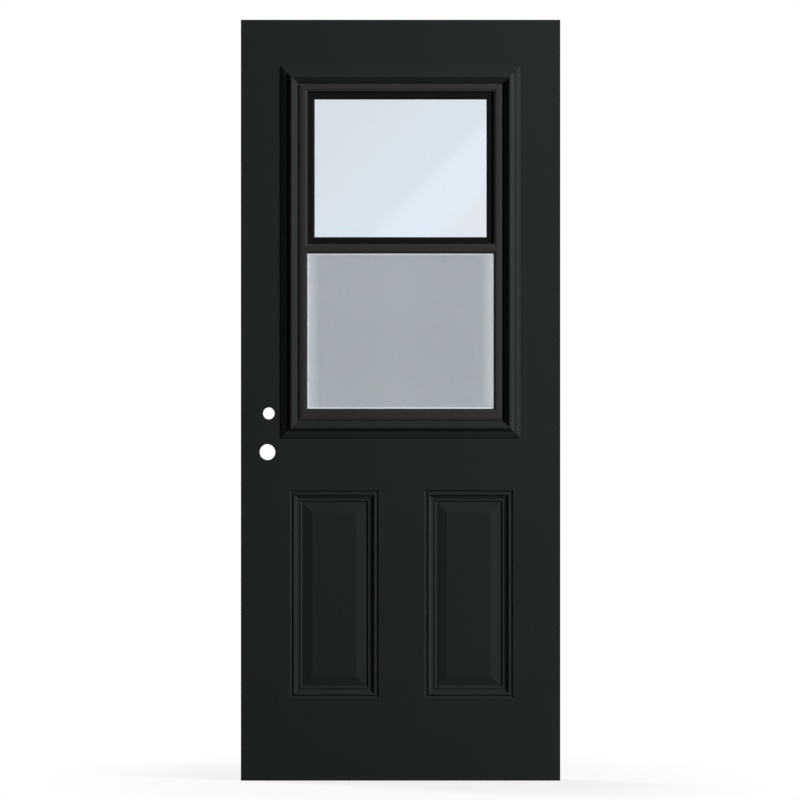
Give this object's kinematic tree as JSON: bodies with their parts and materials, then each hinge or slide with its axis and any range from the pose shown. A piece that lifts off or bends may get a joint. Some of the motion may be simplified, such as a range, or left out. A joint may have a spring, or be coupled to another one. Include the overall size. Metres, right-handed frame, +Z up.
{
  "type": "glass door",
  "caption": "Half-lite entry door leaf: steel skins over foam, raised panels, fixed upper light, insect screen and a sliding vent sash with slide latches.",
  "frame": {"origin": "middle of the leaf's bottom edge, halfway through its thickness", "axes": "+Z up, -Y towards the outside, +X towards the hinge edge (right as seen from outside)"},
  "size_m": [0.853, 0.0704, 2.032],
  "materials": {
    "skin_paint": "satin black baked paint on pressed steel",
    "edge_wood": "primed timber edge",
    "foam": "rigid foam",
    "frame_paint": "satin black painted moulding",
    "frame_seal": "closed-cell foam tape",
    "screw_steel": "zinc-plated steel",
    "plug": "satin black plug",
    "surround": "fine satin charcoal",
    "dark_bar": "matt black bar",
    "glass": "clear sealed glass",
    "spacer": "mill aluminium",
    "rubber": "black gasket",
    "tape": "foam tape",
    "screen_bar": "matt black",
    "mesh": "coated glass-fibre yarn",
    "pile": "wool pile",
    "latch": "fine-grained black plastic"
  },
  "bodies": {
    "door": {"exterior_skin": "skin_paint", "interior_skin": "skin_paint", "foam_core": "foam", "hinge_stile": "edge_wood", "lock_stile": "edge_wood", "lock_block": "edge_wood", "top_rail": "edge_wood", "bottom_rail": "edge_wood", "exterior_lite_frame": "frame_paint", "interior_lite_frame": "frame_paint", "exterior_frame_seal": "frame_seal", "interior_frame_seal": "frame_seal", "lite_frame_screws": "screw_steel", "screw_plugs": "plug", "left_jamb": "surround", "right_jamb": "surround", "vent_head": "surround", "vent_sill": "surround", "meeting_rail": "surround", "frame_screws": "screw_steel", "sash_stops": "latch", "upper_left_bar": "dark_bar", "upper_right_bar": "dark_bar", "upper_bottom_bar": "dark_bar", "upper_top_bar": "dark_bar", "upper_glass_outer": "glass", "upper_glass_inner": "glass", "upper_spacer": "spacer", "upper_edge_seal": "rubber", "upper_gasket": "rubber", "upper_glazing_tape": "tape", "setting_blocks": "rubber", "screen_left_bar": "screen_bar", "screen_right_bar": "screen_bar", "screen_bottom_bar": "screen_bar", "screen_top_bar": "screen_bar", "screen_corner_keys": "latch", "screen_mesh": "mesh", "screen_spline": "rubber"},
    "sash": {"sash_left_stile": "surround", "sash_right_stile": "surround", "sash_bottom_rail": "surround", "sash_top_rail": "surround", "sash_glass_outer": "glass", "sash_glass_inner": "glass", "sash_spacer": "spacer", "sash_edge_seal": "rubber", "sash_gasket": "rubber", "sash_pile_strips": "pile", "sash_glides": "latch", "sash_bulb_seal": "rubber", "latch_housings": "latch"},
    "left_latch": {"left_latch_bolt": "latch"},
    "right_latch": {"right_latch_bolt": "latch"}
  },
  "joints": [
    {"name": "sash_slide", "type": "slide", "parent": "door", "child": "sash", "axis": [0, 0, 1], "range_m": [0, 0.36]},
    {"name": "left_latch_slide", "type": "slide", "parent": "sash", "child": "left_latch", "axis": [-1, 0, 0], "range_m": [0, 0.007]},
    {"name": "right_latch_slide", "type": "slide", "parent": "sash", "child": "right_latch", "axis": [1, 0, 0], "range_m": [0, 0.007]}
  ]
}
